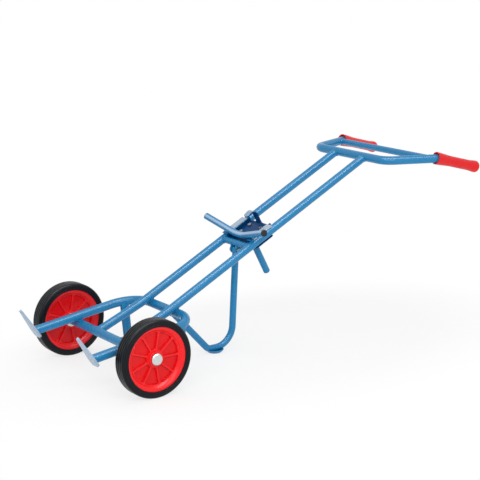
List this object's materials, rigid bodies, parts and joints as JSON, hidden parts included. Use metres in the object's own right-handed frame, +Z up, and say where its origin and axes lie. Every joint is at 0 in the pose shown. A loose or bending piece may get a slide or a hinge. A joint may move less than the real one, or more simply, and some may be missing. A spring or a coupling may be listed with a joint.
{
  "type": "drum trolley",
  "caption": "Two-wheeled drum trolley of bent blue tube with toe claws, a rail-mounted slide hook and saddle, a standing leg and a wide push handle with red grips.",
  "frame": {"origin": "on the floor, under the middle of the trolley's length and width", "axes": "+X from the toe claws towards the grips, +Y to the pusher's right as they face the claws, +Z up"},
  "size_m": [1.5792, 0.5916, 0.6475],
  "materials": {
    "blue_enamel": "glossy stoved enamel on steel tube and plate",
    "red_rim": "moulded polypropylene, semi-gloss",
    "red_grip": "moulded soft vinyl sleeve",
    "tyre_rubber": "solid black rubber",
    "black_plug": "moulded plug, fine grain",
    "nylon_bush": "natural nylon",
    "zinc_steel": "bright zinc plating"
  },
  "bodies": {
    "frame": {"axle": "zinc_steel", "axle_tube": "blue_enamel", "hub_cap_left": "zinc_steel", "hub_cap_right": "zinc_steel", "axle_washers": "zinc_steel", "toe_frame": "blue_enamel", "toe_claw_left": "blue_enamel", "toe_claw_right": "blue_enamel", "strut_left": "blue_enamel", "strut_plug_left": "black_plug", "strut_right": "blue_enamel", "strut_plug_right": "black_plug", "rail_cross_tube": "blue_enamel", "rail_left": "blue_enamel", "rail_right": "blue_enamel", "handle_loop": "blue_enamel", "grip_left": "red_grip", "grip_right": "red_grip", "handle_cross_bar": "blue_enamel", "leg_tube": "blue_enamel", "leg_lugs_low": "blue_enamel", "leg_lugs_top": "blue_enamel", "leg_bolts": "zinc_steel", "leg_nuts": "zinc_steel", "foot_dish": "blue_enamel"},
    "wheel_left": {"tyre_left": "tyre_rubber", "rim_left": "red_rim", "hub_bush_left": "nylon_bush"},
    "wheel_right": {"tyre_right": "tyre_rubber", "rim_right": "red_rim", "hub_bush_right": "nylon_bush"},
    "carriage": {"slide_pan": "blue_enamel", "chime_hook": "blue_enamel", "saddle_tube": "blue_enamel", "under_plate": "blue_enamel", "carriage_bolts": "zinc_steel", "carriage_nuts": "zinc_steel", "carriage_spacers": "zinc_steel", "pull_handle": "blue_enamel", "glide_strip_left": "blue_enamel", "saddle_plug_left": "black_plug", "glide_strip_right": "blue_enamel", "saddle_plug_right": "black_plug"}
  },
  "joints": [
    {"name": "wheel_left_spin", "type": "hinge", "parent": "frame", "child": "wheel_left", "pos_m": [-0.56644, -0.2705, 0.125], "axis": [0, 1, 0], "continuous": true},
    {"name": "wheel_right_spin", "type": "hinge", "parent": "frame", "child": "wheel_right", "pos_m": [-0.56644, 0.2705, 0.125], "axis": [0, 1, 0], "continuous": true},
    {"name": "carriage_slide", "type": "slide", "parent": "frame", "child": "carriage", "axis": [0.8886, 0, 0.4587], "range_m": [0, 0.42]}
  ]
}
